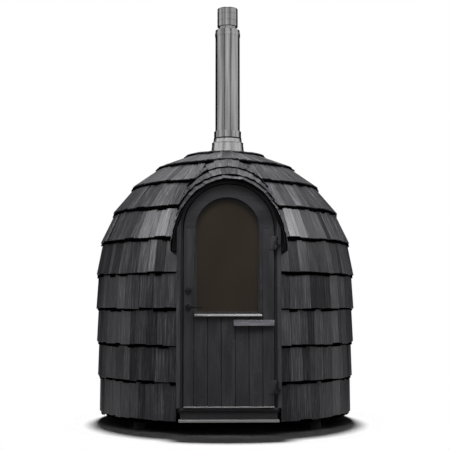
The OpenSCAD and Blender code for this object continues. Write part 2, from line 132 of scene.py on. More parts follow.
def stretched(tree, vector, stretch, scale, detail=4.0, rough=0.6):
    """Noise drawn out along one direction, as grain and brush marks are."""
    mapping = tree.nodes.new("ShaderNodeMapping")
    mapping.inputs["Scale"].default_value = stretch
    tree.links.new(vector, mapping.inputs["Vector"])
    noise = add(tree, "ShaderNodeTexNoise", Scale=scale, Detail=detail, Roughness=rough)
    tree.links.new(mapping.outputs["Vector"], noise.inputs["Vector"])
    return noise.outputs["Fac"]


def add_bump(tree, shader, height, strength, distance):
    node = add(tree, "ShaderNodeBump", Strength=strength, Distance=distance)
    tree.links.new(height, node.inputs["Height"])
    tree.links.new(node.outputs["Normal"], shader.inputs["Normal"])


# %% [markdown]
# The shingles are split softwood under a dark grey stain. The stain is thin on the raised grain,
# which leaves pale streaks, and it has a slight sheen. Three sizes of noise make fine streaks,
# broad bands and cloudy patches. The shade that each shingle carries makes it lighter or darker
# as a whole, at random. A shade of zero paints the tips of the row behind near black, as painted
# shadow under each butt, and takes the sheen off them.

# %% Shingle finish
def shingle_material():
    material, tree, shader = new_material("stained shingle")
    grain = tree.nodes.new("ShaderNodeUVMap")
    grain.uv_map = "grain"
    tone = tree.nodes.new("ShaderNodeAttribute")
    tone.attribute_name = "tone"
    fine = stretched(tree, grain.outputs["UV"], (1, 0.03, 1), 120, 5, 0.75)
    broad = stretched(tree, grain.outputs["UV"], (1, 0.06, 1), 34, 3, 0.6)
    stain = stretched(tree, grain.outputs["UV"], (1, 0.6, 1), 9, 3, 0.6)
    dark = grey(0.002)
    middle = grey(0.013, (1, 0.97, 1.16))
    light = grey(0.1, (1, 0.98, 1.12))
    streaks = ramp(tree, fine, [(0.34, dark), (0.5, middle), (0.7, light)])
    bands = ramp(tree, broad, [(0.3, grey(0.5)), (0.52, grey(1.0)), (0.7, grey(1.7))])
    clouds = ramp(tree, stain, [(0.3, grey(0.8)), (0.7, grey(1.25))])
    # A shade of zero, carried only by the row behind, comes out near black: painted shadow under
    # the butts
    shade_stops = [(0.0, grey(0.04)), (0.22, grey(0.5)), (0.5, grey(1.0)), (1.0, grey(2.1))]
    shade = ramp(tree, tone.outputs["Fac"], shade_stops)
    colour = streaks
    for layer in (bands, clouds, shade):
        colour = colour_mix(tree, "MULTIPLY", 1.0, colour, layer)
    tree.links.new(colour, shader.inputs["Base Color"])
    roughness = ramp(tree, broad, [(0.3, grey(0.34)), (0.7, grey(0.5))])
    tree.links.new(roughness, shader.inputs["Roughness"])
    sheen_stops = [(0.0, grey(0.0)), (0.3, grey(0.1)), (1.0, grey(0.5))]
    sheen = ramp(tree, tone.outputs["Fac"], sheen_stops)
    tree.links.new(sheen, shader.inputs["Specular IOR Level"])
    add_bump(tree, shader, fine, 0.5, 0.002)
    return material


# %% [markdown]
# The frame and the door are planed boards under the same stain. Their grain is quieter, and small
# pale scuffs show where hands and boots have been. A scuff shows only where fine specks fall
# inside larger patches, so the marks come in clusters and not evenly. One function makes every
# board finish, since they differ only in grain direction, depth of colour and wear.

# %% Board finish
def board_material(name, axis, base, contrast, rough, scuffs=0.0, tint=(1, 0.99, 1.09)):
    material, tree, shader = new_material(name)
    place = tree.nodes.new("ShaderNodeTexCoord").outputs["Object"]
    along = [1.0, 1.0, 1.0]
    along["XYZ".index(axis)] = 0.04
    fine = stretched(tree, place, along, 150, 5, 0.65)
    wide = stretched(tree, place, [max(a, 0.12) for a in along], 16, 3, 0.5)
    dark = grey(base * (1 - contrast), tint)
    light = grey(base * (1 + contrast * 1.3), tint)
    colour = ramp(tree, fine, [(0.28, dark), (0.5, grey(base, tint)), (0.76, light)])
    shade = ramp(tree, wide, [(0.3, grey(0.6)), (0.5, grey(1.0)), (0.7, grey(1.5))])
    colour = colour_mix(tree, "MULTIPLY", 1.0, colour, shade)
    if scuffs:
        colour = scuffed(tree, place, colour, grey(base * 4), scuffs)
    tree.links.new(colour, shader.inputs["Base Color"])
    roughness = ramp(tree, wide, [(0.3, grey(rough - 0.08)), (0.7, grey(rough + 0.1))])
    tree.links.new(roughness, shader.inputs["Roughness"])
    shader.inputs["Specular IOR Level"].default_value = 0.15
    add_bump(tree, shader, fine, 0.22, 0.001)
    return material


def scuffed(tree, place, colour, pale, amount):
    """Mixes pale specks into a colour, in clusters."""
    spots = add(tree, "ShaderNodeTexNoise", Scale=34.0, Detail=8.0, Roughness=0.75)
    tree.links.new(place, spots.inputs["Vector"])
    specks = ramp(tree, spots.outputs["Fac"], [(0.57, grey(0.0)), (0.64, grey(1.0))])
    worn = stretched(tree, place, (1, 1, 1), 4.5, 2, 0.5)
    clusters = ramp(tree, worn, [(0.52, grey(0.0)), (0.6, grey(1.0))])
    specks = colour_mix(tree, "MULTIPLY", 1.0, specks, clusters)
    strength = tree.nodes.new("ShaderNodeMath")
    strength.operation = "MULTIPLY"
    strength.inputs[1].default_value = amount
    tree.links.new(specks, strength.inputs[0])
    return colour_mix(tree, "MIX", strength.outputs[0], colour, pale)


wood = {
    "shingle": shingle_material(),
    "upright": board_material("stained upright", "Z", 0.024, 0.3, 0.5, 0.25),
    "casing": board_material("stained casing", "Z", 0.04, 0.35, 0.45, 0.4),
    "level": board_material("stained level", "X", 0.02, 0.3, 0.5, 0.2),
    # Near black: the roofing felt, and painted shade under the hood and under the cabin
    "dark": board_material("dark felt and painted shade", "X", 0.006, 0.3, 0.7),
    # A pale grey finish for the batten, much paler than the stain, with scuffs
    "pale_grey_batten": board_material("pale_grey_batten", "X", 0.15, 0.6, 0.75, 0.3),
    "skid": board_material("skid", "Y", 0.018, 0.3, 0.7),
    "spruce": board_material("spruce", "Z", 0.5, 0.12, 0.55, 0.0, (1.0, 0.74, 0.45)),
}
print(len(wood), "wood finishes")

# %% [markdown]
# The chimney is stainless steel, the fittings are black iron, and the ledges are dull grey strips.
# All of them show long brush marks. Those marks are fine noise in the roughness, drawn out along
# the piece. Wider smears in the colour, drawn out the same way, are painted reflection: a real
# brushed sheet spreads its reflections in one direction, and the smears give much the same look
# with plain nodes.

# %% Metal finish
def metal_material(name, base, rough, metallic, brushed, streak, width=7):
    material, tree, shader = new_material(name)
    place = tree.nodes.new("ShaderNodeTexCoord").outputs["Object"]
    along = [1.0, 1.0, 1.0]
    along["XYZ".index(brushed)] = 0.03
    lines = stretched(tree, place, along, 220, 4, 0.6)
    painted_reflection_smears = stretched(tree, place, along, width, 3, 0.6)
    dark = grey(base * (1 - streak))
    light = grey(base * (1 + streak))
    # The smears paint lighter and darker reflection streaks into the colour
    colour = ramp(tree, painted_reflection_smears, [(0.32, dark), (0.5, grey(base)), (0.68, light)])
    tree.links.new(colour, shader.inputs["Base Color"])
    roughness = ramp(tree, lines, [(0.3, grey(rough * 0.8)), (0.7, grey(rough * 1.3))])
    tree.links.new(roughness, shader.inputs["Roughness"])
    shader.inputs["Metallic"].default_value = metallic
    add_bump(tree, shader, lines, 0.06, 0.0005)
    return material


metal = {
    "strip": metal_material("grey strip", 0.17, 0.6, 0.2, "X", 0.35, 40),
    "iron": metal_material("black iron", 0.012, 0.26, 1.0, "X", 0.3),
    "stainless": metal_material("stainless", 0.27, 0.16, 1.0, "Z", 0.5, 26),
    "bright": metal_material("bright stainless", 0.42, 0.26, 1.0, "Z", 0.25, 20),
}
print(len(metal), "metal finishes")

# %% [markdown]
# The window is bronze glass in front of an unlit room, and from outside it looks like a smooth
# brown panel. Its dark brown colour is the bronze tint together with painted shade for the room
# behind. A clear glass shader would show the pale lining behind it. A dark, slightly hazy gloss
# gives the right look more simply.

# %% Glass finish
def glass_material():
    material, tree, shader = new_material("bronze glass")
    place = tree.nodes.new("ShaderNodeTexCoord").outputs["Object"]
    haze = stretched(tree, place, (1, 1, 0.7), 3, 2, 0.5)
    # Dark brown: the bronze tint with painted shade for the unlit room behind
    colour = ramp(tree, haze, [(0.3, (0.019, 0.0135, 0.0085)), (0.7, (0.026, 0.019, 0.0125))])
    tree.links.new(colour, shader.inputs["Base Color"])
    roughness = ramp(tree, haze, [(0.3, grey(0.16)), (0.7, grey(0.24))])
    tree.links.new(roughness, shader.inputs["Roughness"])
    shader.inputs["Specular IOR Level"].default_value = 0.12
    return material


glass = glass_material()
print("glass finish:", glass.name)

# %% [markdown]
# ## Pieces that keep the CAD shape
# The frame, the door, the chimney and the structure have the right shape already. Building them
# again would only risk errors. A copy of each gets its flat faces cleaned up and its edges eased,
# as a planed board or a bent sheet has, and the copy stands for the CAD piece. A bevel modifier
# does the easing, so the width stays one number that is easy to change.

# %% Eased copies
shown = {}


def settle(piece, node):
    """Lets a piece ride on the body of the CAD piece that it stands for."""
    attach(piece, body_of[node])
    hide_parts(node)


def eased_copy(node, material, edge):
    """Shows a CAD piece with a finish of its own and edges eased by the given width."""
    mesh = nodes[node].data.copy()
    grid = bmesh.new()
    grid.from_mesh(mesh)
    bmesh.ops.remove_doubles(grid, verts=grid.verts, dist=1e-5)
    flat = math.radians(0.5)
    bmesh.ops.dissolve_limit(grid, angle_limit=flat, verts=grid.verts, edges=grid.edges)
    grid.to_mesh(mesh)
    grid.free()
    piece = bpy.data.objects.new(node + "_shown", mesh)
    bpy.context.collection.objects.link(piece)
    piece.data.materials.clear()
    piece.data.materials.append(material)
    if edge:
        bevel = piece.modifiers.new("eased edges", "BEVEL")
        bevel.width = edge
        bevel.segments = 2
        bevel.limit_method = "ANGLE"
        bevel.angle_limit = math.radians(35)
    for polygon in mesh.polygons:
        polygon.use_smooth = True
    mesh.set_sharp_from_angle(angle=math.radians(30))
    settle(piece, node)
    shown[node] = piece


plain = [
    ("skid", 0.004, ["skid_left", "skid_right"]),
    ("upright", 0.003, ["jamb_left", "jamb_right", "door_stiles"]),
    ("casing", 0.003, ["casing_boards"]),
    ("level", 0.003, ["frame_arch", "window_frame", "threshold", "kick_board"]),
    # The soffit and the deck under the hood are near black as painted shade
    ("dark", 0.002, ["hood_soffit", "hood_deck"]),
    ("spruce", 0.0, ["cross_beams", "floor_deck", "reveal_lining", "shell_front", "crown_ring"]),
]
for finish, edge, names in plain:
    for name in names:
        eased_copy(name, wood[finish], edge)
for name in nodes:
    if name.startswith("shell_segment"):
        eased_copy(name, wood["spruce"], 0.0)
print(len(shown), "wooden pieces")

# %% [markdown]
# The shell is pale spruce inside and dark roofing felt outside, under the shingles. Both are on
# one solid, so the two finishes are shared out face by face: a face that looks away from the
# middle of the room is dark. The undersides and the low edges of the floor get the same dark
# finish as painted shade under the cabin.

# %% Dark outside of the shell, and painted shade under the cabin
room_middle = Vector((0, 0, 1.2))
floor_edge_z = 0.17

for name, piece in shown.items():
    if name.startswith(("shell_", "crown_", "floor_", "cross_", "reveal_")):
        piece.data.materials.append(wood["dark"])
        for polygon in piece.data.polygons:
            outward = polygon.normal.dot((polygon.center - room_middle).normalized())
            underside = polygon.normal.z < -0.9
            # Faces that look outward are the felt; undersides and the low edges of the floor are
            # painted shade
            if outward > 0.5 or underside or polygon.center.z < floor_edge_z:
                polygon.material_index = 1

# %% [markdown]
# ## Door
# The lower panel is five upright boards with a narrow groove between them. In the CAD part it is
# one solid with grooves. Here it is five boards in one mesh, with chamfered edges that catch the
# light and a shade of their own, because no two boards take stain alike.

# %% Boards of the lower panel
board_gap = 0.002
board_chamfer = 0.004
board_shades = (1.0, 0.88, 1.08, 0.92, 1.04)


def panel_boards():
    low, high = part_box("door_panel")
    count = len(board_shades)
    width = (high.x - low.x) / count
    grid = bmesh.new()
    for i in range(count):
        left = low.x + i * width + board_gap / 2 * (i > 0)
        right = low.x + (i + 1) * width - board_gap / 2 * (i < count - 1)
        outline = [(left, high.y), (left, low.y + board_chamfer), (left + board_chamfer, low.y),
                   (right - board_chamfer, low.y), (right, low.y + board_chamfer), (right, high.y)]
        lower = [grid.verts.new((x, y, low.z)) for x, y in outline]
        upper = [grid.verts.new((x, y, high.z)) for x, y in outline]
        grid.faces.new(lower)
        grid.faces.new(list(reversed(upper)))
        for j in range(len(outline)):
            k = (j + 1) % len(outline)
            grid.faces.new((lower[j], lower[k], upper[k], upper[j]))
    bmesh.ops.recalc_face_normals(grid, faces=grid.faces)
    mesh = bpy.data.meshes.new("panel_boards")
    grid.to_mesh(mesh)
    grid.free()
    for shade in board_shades:
        finish = board_material("stained panel board", "Z", 0.025 * shade, 0.4, 0.5, 0.5)
        mesh.materials.append(finish)
    faces_per_board = len(mesh.polygons) // count
    for polygon in mesh.polygons:
        polygon.material_index = polygon.index // faces_per_board
    piece = bpy.data.objects.new("panel_boards", mesh)
    bpy.context.collection.objects.link(piece)
    settle(piece, "door_panel")
    print(count, "boards of", round(width * 1000), "mm")


eased_copy("window_bead", wood["upright"], 0.003)
panel_boards()

# %% [markdown]
# The glass, the ledges, the batten across the panel and the iron fittings keep their CAD shape and
# get eased edges. Thin strips get a smaller bevel than wood does, because a bevel wider than the
# metal is thick would round the strip away.

# %% Glass, ledges and fittings
eased_copy("window_glass", glass, 0.0)
for name in ("sill_ledge", "window_ledge", "door_sweep"):
    eased_copy(name, metal["strip"], 0.0015)
eased_copy("door_batten", wood["pale_grey_batten"], 0.004)
for name in ("hinge_plates", "hinge_knuckles", "lock_set", "lever_handle"):
    eased_copy(name, metal["iron"], 0.002)
print(len(shown), "pieces so far")

# %% [markdown]
# Each hinge is a round knuckle with a plate on either side. The plates were stained over with the
# door and only the knuckle is bare. The finish is again chosen face by face, by how far a face
# lies from the pin.

# %% Stained hinge plates
knuckle_r = 0.008
pin_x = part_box("hinge_plates")[0].x + knuckle_r
for name in ("hinge_plates", "hinge_knuckles"):
    piece = shown[name]
    piece.data.materials.append(wood["upright"])
    for polygon in piece.data.polygons:
        if abs(polygon.center.x - pin_x) > knuckle_r + 0.0005:
            polygon.material_index = 1
print("hinge pins at x", round(pin_x, 4))

# %% [markdown]
# ## Chimney
# The chimney is sheet metal rolled into tubes. Where two sheets meet there is a rolled bead with a
# dark joint under it. The tubes keep their CAD shape, and each joint is a thin dark ring added to
# the tube's own mesh. The ring under the lower band is painted shadow, cast by the band. A ring of
# faces is cheaper than cutting a groove, and from a few metres away it looks the same.

# %% Tubes, flashing and cowl
for name in nodes:
    if name.startswith("chimney_"):
        finish = metal["bright"] if name == "chimney_flashing" else metal["stainless"]
        eased_copy(name, finish, 0.0015)
print(len(shown), "pieces keep the CAD shape")

# %% Dark joints, and a painted shadow under the band, around the chimney
ring_sides = 96
ring_depth = 0.003

pipe_low, pipe_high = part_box("chimney_casing")
pipe_middle = (pipe_low + pipe_high) / 2
pipe_r = (pipe_high.x - pipe_low.x) / 2
cowl_low, cowl_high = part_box("chimney_cowl")
cowl_r = (cowl_high.x - cowl_low.x) / 2
band_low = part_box("chimney_bands")[0].z


def joint_and_shadow_ring(node, level, tall, radius):
    """Adds a thin dark ring to a chimney piece, from a level upward."""
    piece = shown[node]
    grid = bmesh.new()
    grid.from_mesh(piece.data)
    piece.data.materials.append(metal["iron"])
    section = ((level, radius - ring_depth), (level, radius), (level + tall, radius),
               (level + tall, radius - ring_depth))
    turns = [2 * math.pi * i / ring_sides for i in range(ring_sides)]
    loops = []
    for z, r in section:
        loops.append([grid.verts.new((pipe_middle.x + r * math.cos(a),
                                      pipe_middle.y + r * math.sin(a), z)) for a in turns])
    for a, b in zip(loops, loops[1:]):
        for i in range(ring_sides):
            j = (i + 1) % ring_sides
            face = grid.faces.new((a[i], a[j], b[j], b[i]))
            face.material_index = len(piece.data.materials) - 1
            face.smooth = True
    grid.to_mesh(piece.data)
    grid.free()
    print(node, "joint at", round(level, 3))


# The cowl has three joints, measured down from its top
for drop in (0.052, 0.118, 0.004):
    joint_and_shadow_ring("chimney_cowl", cowl_high.z - drop - 0.004, 0.003, cowl_r + 0.0006)
# One is painted shadow under the lower band, 16 mm out from the casing
joint_and_shadow_ring("chimney_casing", band_low - 0.011, 0.013, pipe_r + 0.016)
# And one lies under the rolled lip, the widest place near the top of the flashing
upper_flashing = [v.co for v in nodes["chimney_flashing"].data.vertices if v.co.z > band_low - 0.1]
lip = max(upper_flashing, key=lambda c: math.hypot(c.x - pipe_middle.x, c.y))
joint_and_shadow_ring("chimney_flashing", lip.z - 0.009, 0.004, pipe_r + 0.0335)

# %% [markdown]
# ## Shingles
# Each course is a row of separate boards. A board is thick at its lower end, the butt, and thin
# at its head, which the next course covers. Widths run from about 45 to 140 mm, and no two butts
# are quite level. Behind each row hangs a second row, painted near black as painted shadow. Its
# tips peep out below and make the ragged dark line of painted shadow under every butt.
#
# A texture on a smooth band would show the joints between boards but no steps at the edge of the
# dome, so every board is a real wedge. All boards of a course share one mesh, which keeps the
# scene light. Each corner also stores where it lies along the grain and how dark its board is,
# and the shingle finish reads both.

# %% Mesh of many boards
rng = random.Random(11)
edge_ease = 0.0016


class Boards:
    """Collects tapered boards for one mesh, with grain coordinates and a shade for each."""

    # Corners 0 to 3 lie round the butt: two behind, two in front. Corners 4 to 7 lie round the
    # head. Corners 8 to 11 are the long edges, a little behind the front.
    quads = [(3, 2, 6, 7), (0, 4, 5, 1), (8, 3, 7, 10), (2, 9, 11, 6), (0, 8, 10, 4),
             (9, 1, 5, 11), (0, 1, 9, 8), (8, 9, 2, 3), (4, 7, 6, 5)]

    def __init__(self):
        self.corners = []
        self.faces = []
        self.grain = []
        self.shade = []

    def count(self):
        return len(self.faces) // len(self.quads)

    def corner(self, place, grain, shade):
        self.corners.append(place)
        self.grain.append(grain)
        self.shade.append(shade)

    def add(self, butt, up, across, length, width, head_width, thick, head_thick, tone, skew):
        out = across.cross(up).normalized()
        start = len(self.corners)
        shift = Vector((rng.uniform(0, 50), rng.uniform(0, 50), 0))
        ends = [(0.0, width, thick), (length, head_width, head_thick)]
        for along, wide, deep in ends:
            for side, back in ((-1, 1), (1, 1), (1, 0), (-1, 0)):
                inset = 0 if back else edge_ease
                x = side * (wide / 2 - inset)
                lift = skew * side if along == 0 else 0.0
                rise = along + lift + (edge_ease if along == 0 and not back else 0)
                place = butt + up * rise + across * x - out * (deep if back else 0)
                self.corner(place, (x + shift.x, along + shift.y), tone)
        # The long edges are paler, at one and a half times the board's shade
        for along, wide, deep in ends:
            for side in (-1, 1):
                rise = along + (skew * side if along == 0 else 0.0)
                x = side * wide / 2
                place = butt + up * rise + across * x - out * edge_ease
                self.corner(place, (x + shift.x, along + shift.y), min(1.0, tone * 1.5))
        self.faces += [tuple(start + i for i in quad) for quad in self.quads]

    def build(self, name, node):
        """Makes the mesh and lets it stand for a CAD course."""
        mesh = bpy.data.meshes.new(name)
        mesh.from_pydata([tuple(c) for c in self.corners], [], self.faces)
        layer = mesh.uv_layers.new(name="grain")
        for loop in mesh.loops:
            layer.data[loop.index].uv = self.grain[loop.vertex_index]
        tone = mesh.attributes.new("tone", "FLOAT", "POINT")
        tone.data.foreach_set("value", self.shade)
        mesh.materials.append(wood["shingle"])
        grid = bmesh.new()
        grid.from_mesh(mesh)
        bmesh.ops.recalc_face_normals(grid, faces=grid.faces)
        grid.to_mesh(mesh)
        grid.free()
        piece = bpy.data.objects.new(name, mesh)
        bpy.context.collection.objects.link(piece)
        settle(piece, node)


# %% Widths of boards
def spread(total, low, high):
    """Widths between two limits, scaled to fill a length exactly."""
    widths = []
    while sum(widths) < total:
        widths.append(rng.uniform(low, high))
    scale = total / sum(widths)
    return [w * scale for w in widths]


# %% [markdown]
# The CAD courses are smooth bands. Their section says where each butt and each head lies, so the
# boards take their places from it and not from numbers typed in again.

# %% Sections of the courses
def section(node):
    """(radius, height) of a course's outer butt and outer head, in metres."""
    corners = np.array([v.co for v in nodes[node].data.vertices], float)
    radius = np.round(np.hypot(corners[:, 0], corners[:, 1]), 4)
    height = np.round(corners[:, 2], 4)
    common = [place for place, times in Counter(zip(radius, height)).most_common(4)]
    butt = max(common)
    head = max(common, key=lambda p: p[1])
    return butt, head


courses = [section("shingle_course_%d" % k) for k in range(1, 11)]
for k, (butt, head) in enumerate(courses, 1):
    print("course", k, "butt", butt, "head", head)

# The dome's curve runs through the butts of the upper courses, from the fifth on. The squared
# radius there is a polynomial of the height.
upper = np.array([butt for butt, head in courses[4:]], float)
upper_foot = float(upper[0, 1])
curve_2, curve_1, curve_0 = np.polyfit(upper[:, 1], upper[:, 0] ** 2, 2)


def dome_value(point):
    """Above zero outside the dome's curve, below it inside."""
    z = max(point.z, upper_foot)
    return point.x ** 2 + point.y ** 2 - (curve_0 + curve_1 * z + curve_2 * z * z)


# %% [markdown]
# The hood is a half-oval tube over the door that runs back into the dome. Its crown climbs as it
# runs back, and its feet go straight back. Its front edge and its crown line are measured on the
# first hood course. A point on it is given by an angle from the crown and a distance back, which
# suits boards that run straight back side by side.

# %% Shape of the hood
edge_cloud = np.array([v.co for v in nodes["hood_course_1"].data.vertices], float)
hood_front = edge_cloud[:, 1].min()
front_rim = edge_cloud[edge_cloud[:, 1] < hood_front + 1e-4]
hood_foot = front_rim[:, 2].min()
hood_half = front_rim[:, 0].max()
hood_rise = front_rim[:, 2].max() - hood_foot
ridge = edge_cloud[np.abs(edge_cloud[:, 0]) < 1e-4]
back_top = ridge[ridge[:, 2].argmax()]
hood_flare = (back_top[2] - hood_foot - hood_rise) / (back_top[1] - hood_front)
print("hood front", hood_front, "foot", hood_foot, "half width", hood_half)
print("hood rise", hood_rise, "flare", hood_flare)

# %% Points on the hood
# The hood's surface is followed back from its front edge in small steps, up to where it is sure to
# lie inside the dome
step_back = 0.005
steps_back = 115
hood_reach = 0.575
hood_cover = 0.56


def hood_point(w, t, h=0.0):
    """Point at angle w from the crown, t back from the front edge, h above the first course."""
    across, above = math.sin(w) / hood_half, math.cos(w) / hood_rise
    size = math.hypot(across, above)
    out = h + hood_flare * math.cos(w) ** 2 * t
    return Vector((hood_half * math.sin(w) + across / size * out, hood_front + t,
                   hood_foot + hood_rise * math.cos(w) + above / size * out))


def hood_end(w):
    """How far back the hood's surface runs at angle w before it reaches the dome."""
    for i in range(steps_back):
        if dome_value(hood_point(w, i * step_back)) <= 0:
            return i * step_back
    return hood_reach


def under_hood(point, depth):
    """True if the hood's surface passes further outside this point than the given depth."""
    t = max(0.0, point.y - hood_front)
    if point.z < hood_foot or t > hood_cover:
        return False
    w = math.atan2(point.x / hood_half, (point.z - hood_foot) / hood_rise)
    cover = hood_point(w, t)
    height = cover.z - hood_foot
    return math.hypot(point.x, point.z - hood_foot) < math.hypot(cover.x, height) - depth


# %% [markdown]
# Dome courses go round from one side of the doorway to the other. The lowest five stop at the
# casing boards, and the ones above pass under the hood or clear it. A board whose butt lies well
# under the hood is left out. Course nine is lifted a little at the front, where it passes over
# the back of the hood.

# %% Lay the dome's courses
casing_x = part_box("casing_boards")[1].x + 0.0025
wide_boards = (0.055, 0.135)
narrow_boards = (0.045, 0.1)
well_under = 0.03
joint_width = 0.0025
front_lift = 0.018
face_depth = 0.0028
dark_row_depth = 0.0115
head_thick = 0.003


def lay_dome_course(k):
    """Lays course k, counted from the ground, and says how many boards it took."""
    (butt_r, butt_z), (head_r, head_z) = courses[k - 1]
    boards = Boards()
    open_front = butt_z < hood_foot
    first = math.asin(casing_x / butt_r) if open_front else 0.0
    length = math.hypot(butt_r - head_r, head_z - butt_z)
    # Layer 0 is the row that shows, and layer 1 is the one behind it, painted near black as painted
    # shadow
    for layer in (0, 1):
        angle = first if open_front else rng.uniform(0, 0.05)
        limits = narrow_boards if k > 8 or layer else wide_boards
        for width in spread(2 * (math.pi - first) * butt_r, *limits):
            middle = angle + width / butt_r / 2
            angle += width / butt_r
            radial = Vector((math.sin(middle), -math.cos(middle), 0))
            across = Vector((math.cos(middle), math.sin(middle), 0))
            low = radial * butt_r + Vector((0, 0, butt_z))
            top = radial * head_r + Vector((0, 0, head_z))
            up = (top - low).normalized()
            out = across.cross(up).normalized()
            if k >= 6 and under_hood(low, well_under):
                continue
            tip = rng.uniform(-0.004, 0.01) if layer == 0 else rng.uniform(-0.028, -0.006)
            depth = face_depth + rng.uniform(0, 0.003) + (dark_row_depth if layer else 0)
            over = max(0.0, math.cos(middle)) ** 24 if k == 9 else 0.0
            place = low + up * tip - out * depth + Vector((0, 0, front_lift * over))
            # The row behind gets a shade of zero, which the shingle finish paints near black as
            # painted shadow
            shade = min(1.0, max(0.25, rng.gauss(0.45, 0.13))) if layer == 0 else 0.0
            thick = 0.0125 if layer == 0 else 0.008
            face = width - joint_width
            skew = rng.uniform(-0.0015, 0.0015)
            boards.add(place, up, across, length - tip, face, face * (head_r / butt_r),
                       thick, head_thick, shade, skew)
    boards.build("shingles_%d" % k, "shingle_course_%d" % k)
    return boards.count()


print("boards per course", [lay_dome_course(k) for k in range(1, 11)])

# %% [markdown]
# On the hood each board follows the surface straight back. Flat boards on a tight curve leave
# stepped corners along the edge, as they do on the real hood. The second and third courses start
# further back and cover only the crown, down to a valley on either side where they run out
# against the dome. Each course reaches a little way under the next one.

# %% Lines where the hood's courses start
crown_2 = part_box("hood_course_2")[0].y - hood_front
crown_3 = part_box("hood_course_3")[0].y - hood_front
valley_2 = math.radians(55)
valley_3 = math.radians(35)
lap = 0.03
into_dome = 0.04


def butt_line(w, crown, valley):
    """How far back a course starts: at its crown in the middle, at the dome in the valleys."""
    side = max(crown, hood_end(valley))
    return crown + (side - crown) * min(1.0, abs(w) / valley) ** 2


def under_course_nine(w):
    """How far back the hood's surface runs before it is well under the ninth course's butts."""
    (butt_r, butt_z), head = courses[8]
    most_steps = 140
    for i in range(most_steps):
        point = hood_point(w, i * step_back)
        if math.hypot(point.x, point.y) < butt_r - well_under:
            return i * step_back
    return 0.6


def line_1(w):
    """The first course starts a millimetre behind the CAD edge, to stay inside the CAD part."""
    return 0.001


def line_2(w):
    return butt_line(w, crown_2, valley_2)


def line_3(w):
    return butt_line(w, crown_3, valley_3)


def reach_to(line):
    """Where a course's heads end: at the given line, or a little way inside the dome."""
    return lambda w: min(hood_end(w) + into_dome, line(w))


print("hood courses start", round(line_1(0), 3), round(line_2(0), 3), round(line_3(0), 3), "m back")

# %% Lay the hood's courses
nudge = 0.01
hood_joint = 0.001
face_length = 0.06
dark_row_length = 0.05


def lay_hood_course(number, limit, line, next_line, lift, head_lift):
    """Lays one course between the angles -limit and limit, from its line back to the next."""
    boards = Boards()
    lowest = number == 1
    steps = 240
    angles = [-limit + 2 * limit * i / steps for i in range(steps + 1)]
    places = [hood_point(w, line(w), lift) for w in angles]
    gaps = [(b - a).length for a, b in zip(places, places[1:])]
    arc = np.concatenate([[0], np.cumsum(gaps)])
    for layer in (0, 1):
        at = 0.0
        for width in spread(float(arc[-1]), 0.055, 0.1):
            w = float(np.interp(at + width / 2, arc, angles))
            at += width
            start = line(w)
            if layer == 0:
                end = max(start + face_length, next_line(w))
            else:
                end = start + dark_row_length
            uneven = rng.uniform(-0.004, 0.002) if lowest else 0
            low = hood_point(w, start, lift + uneven)
            top = hood_point(w, end, head_lift if layer == 0 else lift - 0.004)
            up = (top - low).normalized()
            right = hood_point(w + nudge, start, lift)
            left = hood_point(w - nudge, start, lift)
            across = right - left
            across = (across - up * across.dot(up)).normalized()
            roll = rng.uniform(-1, 1) * (0.13 if lowest else 0.03) * (layer == 0)
            across = (across + across.cross(up) * roll).normalized()
            out = across.cross(up).normalized()
            if layer == 0:
                tip = rng.uniform(0.0015, 0.012)
            else:
                tip = (0.002 if lowest else -0.01) + rng.uniform(-0.002, 0.002)
            behind = 0.0055 if layer and lowest else layer * 0.001
            depth = 0.001 + rng.uniform(0, 0.002) + behind
            head_gap = hood_point(w + nudge, end) - hood_point(w - nudge, end)
            butt_gap = hood_point(w + nudge, start) - hood_point(w - nudge, start)
            grow = head_gap.length / butt_gap.length
            # The row behind gets a shade of zero, which the shingle finish paints near black as
            # painted shadow
            shade = min(1.0, max(0.25, rng.gauss(0.45, 0.1))) if layer == 0 else 0.0
            thick = 0.0065 if layer == 0 else 0.009
            face = width - hood_joint
            skew = rng.uniform(-0.0012, 0.0012)
            boards.add(low + up * tip - out * depth, up, across, (top - low).length - tip,
                       face, face * grow, thick, head_thick, shade, skew)
    boards.build("hood_shingles_%d" % number, "hood_course_%d" % number)
    return boards.count()


counts = [
    lay_hood_course(1, math.radians(90), line_1, reach_to(lambda w: line_2(w) + lap), 0.0, 0.0),
    lay_hood_course(2, valley_2, line_2, reach_to(lambda w: line_3(w) + lap), 0.0125, 0.001),
    lay_hood_course(3, valley_3, line_3, reach_to(under_course_nine), 0.0140, 0.001),
]
print("boards on the hood", counts)

# %% [markdown]
# ## Floor
# The sauna stands on a pale floor that fades into the white backdrop, so that only its shadow
# shows. The floor is one large plane. An oval gradient turns it transparent a little way outside
# the dome, which leaves no hard edge anywhere.

